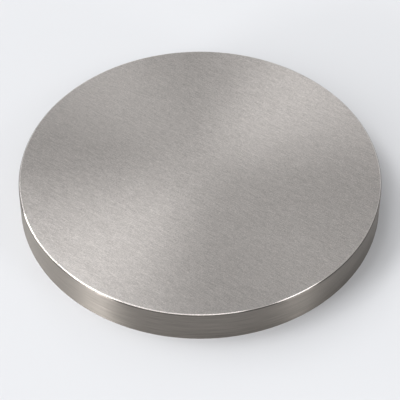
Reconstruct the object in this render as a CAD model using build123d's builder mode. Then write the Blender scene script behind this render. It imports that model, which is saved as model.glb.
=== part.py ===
from build123d import *
import os

# Sputtering target: a plain round disc of solid metal, turned all over, with broken edges.
# The disc lies on its back face, the side that is clamped or bonded to a cooled cathode.
# The upper face is the one that is sputtered away.
# The origin is the centre of the back face, +Z is up through the sputtered face, and sizes are in millimetres.

# Driving dimensions
target_diameter = 50.8
target_thickness = 5.08
face_break = 0.20
back_break = 0.15
face_softening = 0.12
back_softening = 0.06

target_radius = target_diameter / 2
face_height = target_thickness
rim_top = face_height - face_break
land_radius = target_radius - face_break
back_radius = target_radius - back_break


def half_section():
    """The disc's half section, on the XZ plane: back face, back break, rim, face break, sputtered face and axis."""
    with BuildSketch(Plane.XZ) as section:
        with BuildLine():
            Polyline(
                (0, 0),
                (back_radius, 0),
                (target_radius, back_break),
                (target_radius, rim_top),
                (land_radius, face_height),
                (0, face_height),
                close=True,
            )
        make_face()
        outer_corners = section.vertices().filter_by_position(Axis.X, back_radius / 2, target_radius)
        face_corners = outer_corners.group_by(Axis.Z)[-2:]
        back_corners = outer_corners.group_by(Axis.Z)[:2]
        fillet([corner for level in face_corners for corner in level], face_softening)
        fillet([corner for level in back_corners for corner in level], back_softening)
    return section.sketch


with BuildPart() as target_disc:
    add(half_section())
    revolve(axis=Axis.Z)

target_disc.part.label = "target_disc"
os.makedirs("parts", exist_ok=True)
export_step(target_disc.part, "parts/target_disc.step")
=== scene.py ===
import math

import bpy
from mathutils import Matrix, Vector


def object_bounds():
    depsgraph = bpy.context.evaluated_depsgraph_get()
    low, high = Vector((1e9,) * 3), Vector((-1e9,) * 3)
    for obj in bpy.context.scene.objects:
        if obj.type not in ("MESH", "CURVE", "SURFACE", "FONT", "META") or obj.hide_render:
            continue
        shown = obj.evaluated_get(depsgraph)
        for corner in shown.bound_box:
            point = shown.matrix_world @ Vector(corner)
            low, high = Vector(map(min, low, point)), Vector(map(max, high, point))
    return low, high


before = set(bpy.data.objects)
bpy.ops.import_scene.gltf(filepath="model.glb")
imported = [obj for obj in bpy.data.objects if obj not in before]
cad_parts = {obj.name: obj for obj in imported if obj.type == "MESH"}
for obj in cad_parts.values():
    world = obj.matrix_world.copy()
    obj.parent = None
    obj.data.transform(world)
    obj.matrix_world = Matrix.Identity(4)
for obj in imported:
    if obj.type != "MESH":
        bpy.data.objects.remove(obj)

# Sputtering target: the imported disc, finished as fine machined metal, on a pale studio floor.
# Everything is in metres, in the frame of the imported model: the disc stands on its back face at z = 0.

cad_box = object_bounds()
lowest, highest = cad_box
disc_radius = (highest.x - lowest.x) / 2
disc_height = highest.z - lowest.z
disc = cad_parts["target_disc"]

# Camera: the photograph is a long-lens view from straight in front, looking down on the disc
millimetres = 1000
sensor_width = 0.036
lens_length = 4.727 * sensor_width
camera_distance = 10.44 * disc_radius
camera_elevation = math.radians(46.68)
aim_below_centre = 0.1407 * disc_radius
nearest_seen = 0.1 * disc_radius

# Metal: the faces are brighter than the rim, whose darker colour is the metal's colour with painted shade,
# and their finish meets the rim's on the edge breaks.
# The two depths are measured from a face: the face's finish ends at the first, and the rim's at the second.
face_colour = (0.56, 0.53, 0.51)
# The rim's colour is darkened by painted shade.
rim_colour_with_painted_shade = (0.238, 0.218, 0.196)
face_end_depth = 0.00007
rim_end_depth = 0.00015
metal_roughness = 0.39
metal_anisotropy = 0.9
quarter_turn = 0.25

# Edge breaks: smoother than the rest, with a painted highlight on the half next to the face and a painted
# shade line on the half next to the rim
edge_roughness = 0.2
painted_edge_highlight = 1.6
painted_edge_shade = 0.4

# Marks of the tool: a fine speckle and short flecks that lie one way on the faces, and long lines on the rim
speckle_size = 0.00007
speckle_detail = 1.0
lay_scatter = 1.5
fleck_length = 0.0012
fleck_width = 0.00005
fleck_direction = math.radians(145)
fleck_detail = 2.0
fleck_harshness = 0.8
fleck_share = 0.45
rim_line_length = 0.004
rim_line_width = 0.00007
rim_line_detail = 3.0
rim_line_harshness = 0.5
face_contrast = 2.4
rim_contrast = 1.0
roughness_contrast = 0.25
mark_depth = 0.00001

# Studio
floor_colour = (0.765, 0.775, 0.80)
floor_roughness = 0.9
floor_size = 6000 * disc_radius
studio_radius = 400 * disc_radius
surround_brightness = 0.42


def add_object(name, data):
    """Links a new object that holds data to the scene."""
    made = bpy.data.objects.new(name, data)
    bpy.context.scene.collection.objects.link(made)
    return made


def aim(thing, target):
    """Points the -Z axis of a camera or lamp at the target, with its Y axis as near upright as it can be."""
    thing.rotation_euler = (Vector(target) - thing.location).to_track_quat("-Z", "Y").to_euler()


def from_angles(azimuth, elevation):
    """The unit vector at an azimuth from +X towards +Y, and at an elevation above the floor, in degrees."""
    a = math.radians(azimuth)
    e = math.radians(elevation)
    return Vector((math.cos(a) * math.cos(e), math.sin(a) * math.cos(e), math.sin(e)))


def make_camera():
    """The photograph's viewpoint, aimed a little under the centre of the sputtered face."""
    camera = add_object("camera", bpy.data.cameras.new("camera"))
    camera.data.sensor_width = sensor_width * millimetres
    camera.data.lens = lens_length * millimetres
    back = Vector((0, -math.cos(camera_elevation), math.sin(camera_elevation)))
    up = Vector((0, math.sin(camera_elevation), math.cos(camera_elevation)))
    face_centre = Vector((0, 0, disc_height))
    camera.location = face_centre + back * camera_distance
    aim(camera, face_centre - up * aim_below_centre)
    camera.data.clip_start = nearest_seen
    camera.data.clip_end = 2 * floor_size
    bpy.context.scene.camera = camera


class Nodes:
    """Adds and links the nodes of one material."""

    def __init__(self, material):
        material.use_nodes = True
        self.tree = material.node_tree
        self.tree.nodes.clear()

    def add(self, kind, settings=None, **inputs):
        """Adds a node, then sets or links its inputs: _ in a name is a space, and i3 is input number 3."""
        node = self.tree.nodes.new(kind)
        for name, value in (settings or {}).items():
            setattr(node, name, value)
        for name, value in inputs.items():
            key = int(name[1:]) if name[0] == "i" and name[1:].isdigit() else name.replace("_", " ")
            self.plug(node.inputs[key], value)
        return node

    def plug(self, socket, value):
        """Links an output into the socket, or sets the socket's own value."""
        if isinstance(value, bpy.types.NodeSocket):
            self.tree.links.new(value, socket)
        else:
            socket.default_value = value

    def maths(self, operation, a, b=0.0):
        """One Math node's output."""
        return self.add("ShaderNodeMath", {"operation": operation}, i0=a, i1=b).outputs[0]

    def vectors(self, operation, a, b=(0, 0, 0), **inputs):
        """One Vector Math node's output."""
        return self.add("ShaderNodeVectorMath", {"operation": operation}, i0=a, i1=b, **inputs).outputs[0]

    def mix(self, share, a, b):
        """A number that goes from a at a share of 0 to b at 1."""
        return self.add("ShaderNodeMix", {"data_type": "FLOAT"}, i0=share, i2=a, i3=b).outputs[0]

    def mix_colours(self, share, a, b):
        """A colour that goes from a at a share of 0 to b at 1."""
        node = self.add("ShaderNodeMix", {"data_type": "RGBA"}, i0=share, i6=(*a, 1), i7=(*b, 1))
        return node.outputs[2]

    def stretched_noise(self, position, grain, turn, detail, harshness):
        """Noise whose grains have those lengths along X, Y and Z, turned about Z."""
        turned = self.add(
            "ShaderNodeMapping",
            {"vector_type": "TEXTURE"},
            Vector=position,
            Rotation=(0, 0, turn),
            Scale=grain,
        )
        noise = self.add(
            "ShaderNodeTexNoise",
            Vector=turned.outputs[0],
            Scale=1.0,
            Detail=detail,
            Roughness=harshness,
        )
        return noise.outputs["Fac"]


def face_share(nodes, parts):
    """1 on both faces and 0 on the rim, with a smooth change between them on the edge breaks."""
    from_middle = nodes.maths("ABSOLUTE", nodes.maths("SUBTRACT", parts.outputs["Z"], disc_height / 2))
    share = nodes.add(
        "ShaderNodeMapRange",
        {"interpolation_type": "SMOOTHSTEP"},
        Value=from_middle,
        From_Min=disc_height / 2 - rim_end_depth,
        From_Max=disc_height / 2 - face_end_depth,
    )
    return share.outputs[0]


def edge_share(nodes):
    """1 on the 45 degree edge breaks and 0 on the faces and the rim: the sine squared of twice the slope."""
    normal = nodes.add("ShaderNodeSeparateXYZ", Vector=nodes.add("ShaderNodeNewGeometry").outputs["Normal"])
    cosine_squared = nodes.maths("MULTIPLY", normal.outputs["Z"], normal.outputs["Z"])
    sine_squared = nodes.maths("SUBTRACT", 1.0, cosine_squared)
    return nodes.maths("MULTIPLY", nodes.maths("MULTIPLY", cosine_squared, sine_squared), 4.0)


def lay_direction(nodes, parts, speckle, scatter):
    """The way the metal is brushed: round the axis, and scattered by the speckle, more so near the axis."""
    round_axis = nodes.add(
        "ShaderNodeCombineXYZ",
        X=nodes.maths("MULTIPLY", parts.outputs["Y"], -1 / disc_radius),
        Y=nodes.maths("MULTIPLY", parts.outputs["X"], 1 / disc_radius),
    ).outputs[0]
    strays = nodes.vectors("SUBTRACT", speckle.outputs["Color"], (0.5, 0.5, 0.5))
    strays = nodes.vectors("SCALE", strays, Scale=scatter)
    return nodes.vectors("NORMALIZE", nodes.vectors("ADD", round_axis, strays))


def tool_marks(nodes, position, speckle, on_face):
    """The marks of the face and of the rim, above and below a middle of 0."""
    fleck_grain = (fleck_length, fleck_width, fleck_width)
    flecks = nodes.stretched_noise(position, fleck_grain, fleck_direction, fleck_detail, fleck_harshness)
    line_grain = (rim_line_length, rim_line_length, rim_line_width)
    rim_lines = nodes.stretched_noise(position, line_grain, 0, rim_line_detail, rim_line_harshness)
    face_marks = nodes.mix(fleck_share, speckle.outputs["Fac"], flecks)
    return nodes.maths("SUBTRACT", nodes.mix(on_face, rim_lines, face_marks), 0.5)


def metal_colour(nodes, marks, on_face, on_edge):
    """The colour of the face or of the rim, varied by the marks, with painted shade on the rim and a painted
    highlight and painted shade line on the edge breaks.
    """
    contrast = nodes.maths("MULTIPLY", marks, nodes.mix(on_face, rim_contrast, face_contrast))
    # Painted light on the edge breaks: a painted highlight next to the face, a painted shade line next to
    # the rim.
    painted_edge_light = nodes.mix(on_edge, 1.0, nodes.mix(on_face, painted_edge_shade, painted_edge_highlight))
    shade = nodes.maths("MULTIPLY", nodes.maths("ADD", contrast, 1.0), painted_edge_light)
    # The rim's colour carries painted shade.
    return nodes.vectors("SCALE", nodes.mix_colours(on_face, rim_colour_with_painted_shade, face_colour), Scale=shade)


def metal_roughness_map(nodes, marks, on_edge):
    """The roughness of the metal, varied by the marks, and smoother on the edge breaks."""
    rough = nodes.maths("ADD", nodes.maths("MULTIPLY", marks, roughness_contrast), metal_roughness)
    return nodes.mix(on_edge, rough, edge_roughness)


def metal_material():
    """Fine machined metal, with painted shade on the rim and painted light on the edge breaks."""
    material = bpy.data.materials.new("target_metal_finish")
    nodes = Nodes(material)
    position = nodes.add("ShaderNodeTexCoord").outputs["Object"]
    parts = nodes.add("ShaderNodeSeparateXYZ", Vector=position)
    on_face = face_share(nodes, parts)
    on_edge = edge_share(nodes)
    off_edge = nodes.maths("SUBTRACT", 1.0, on_edge)

    speckle = nodes.add("ShaderNodeTexNoise", Vector=position, Scale=1 / speckle_size, Detail=speckle_detail)
    scatter = nodes.maths("MULTIPLY", nodes.maths("MULTIPLY", on_face, off_edge), lay_scatter)
    marks = nodes.maths("MULTIPLY", tool_marks(nodes, position, speckle, on_face), off_edge)
    bump = nodes.add("ShaderNodeBump", Strength=1.0, Distance=mark_depth, Height=marks)
    shader = nodes.add(
        "ShaderNodeBsdfPrincipled",
        Base_Color=metal_colour(nodes, marks, on_face, on_edge),
        Metallic=1.0,
        Roughness=metal_roughness_map(nodes, marks, on_edge),
        Anisotropic=metal_anisotropy,
        Anisotropic_Rotation=quarter_turn,
        Normal=bump.outputs[0],
        Tangent=lay_direction(nodes, parts, speckle, scatter),
    )
    nodes.add("ShaderNodeOutputMaterial", Surface=shader.outputs[0])
    return material


def floor_material():
    """Matt pale studio paper."""
    material = bpy.data.materials.new("studio_paper")
    nodes = Nodes(material)
    shader = nodes.add("ShaderNodeBsdfPrincipled", Base_Color=(*floor_colour, 1), Roughness=floor_roughness)
    nodes.add("ShaderNodeOutputMaterial", Surface=shader.outputs[0])
    return material


def make_floor():
    """A plain floor, wide enough to fill every view."""
    half = floor_size / 2
    corners = [(-half, -half, 0), (half, -half, 0), (half, half, 0), (-half, half, 0)]
    mesh = bpy.data.meshes.new("floor")
    mesh.from_pydata(corners, [], [(0, 1, 2, 3)])
    mesh.materials.append(floor_material())
    floor = add_object("floor", mesh)


def make_softbox(name, brightness, azimuths, elevations):
    """A flat soft light that faces the disc from far off and covers those ranges of angles in degrees."""
    middle_azimuth = sum(azimuths) / 2
    middle_elevation = sum(elevations) / 2
    half_wide = math.radians(azimuths[1] - azimuths[0]) / 2 * math.cos(math.radians(middle_elevation))
    half_high = math.radians(elevations[1] - elevations[0]) / 2
    data = bpy.data.lights.new(name, "AREA")
    data.shape = "RECTANGLE"
    data.size = 2 * studio_radius * math.tan(half_wide)
    data.size_y = 2 * studio_radius * math.tan(half_high)
    data.energy = brightness * math.pi * data.size * data.size_y
    lamp = add_object(name, data)
    lamp.location = from_angles(middle_azimuth, middle_elevation) * studio_radius
    aim(lamp, (0, 0, disc_height))


def make_surround():
    """An even dim light from all round."""
    world = bpy.data.worlds.new("surround")
    bpy.context.scene.world = world
    world.use_nodes = True
    background = world.node_tree.nodes["Background"]
    background.inputs["Color"].default_value = (1, 1, 1, 1)
    background.inputs["Strength"].default_value = surround_brightness


def light_studio():
    """Soft light from the left, low and high, with dimmer boxes behind, and in front for the edge line."""
    make_surround()
    make_softbox("left_front_low", 38.0, (207, 223), (0, 12))
    make_softbox("left_front_middle", 3.0, (197, 219), (12, 26))
    make_softbox("left_side_low", 5.0, (184, 207), (0, 12))
    make_softbox("left_back_low", 6.0, (155, 184), (0, 14))
    make_softbox("left_middle", 0.6, (150, 190), (26, 42))
    make_softbox("left_key", 5.2, (148, 190), (42, 60))
    make_softbox("left_top", 2.8, (150, 215), (62, 78))
    make_softbox("left_back", 3.0, (128, 150), (28, 50))
    make_softbox("back_strip", 2.3, (94, 106), (20, 40))
    make_softbox("back_top", 0.64, (90, 180), (60, 80))
    make_softbox("right_front_low", 12.5, (316, 331), (0, 12))
    make_softbox("left_front_high", 1.5, (188, 225), (26, 40))
    make_softbox("front_bank_left", 1.2, (225, 262), (36, 50))
    make_softbox("front_bank_right", 1.5, (262, 297), (36, 50))
    make_softbox("right_front_middle", 1.9, (315, 341), (28, 42))


disc.material_slots[0].material = metal_material()
make_floor()
make_camera()
light_studio()
bpy.context.scene.view_settings.view_transform = "Standard"
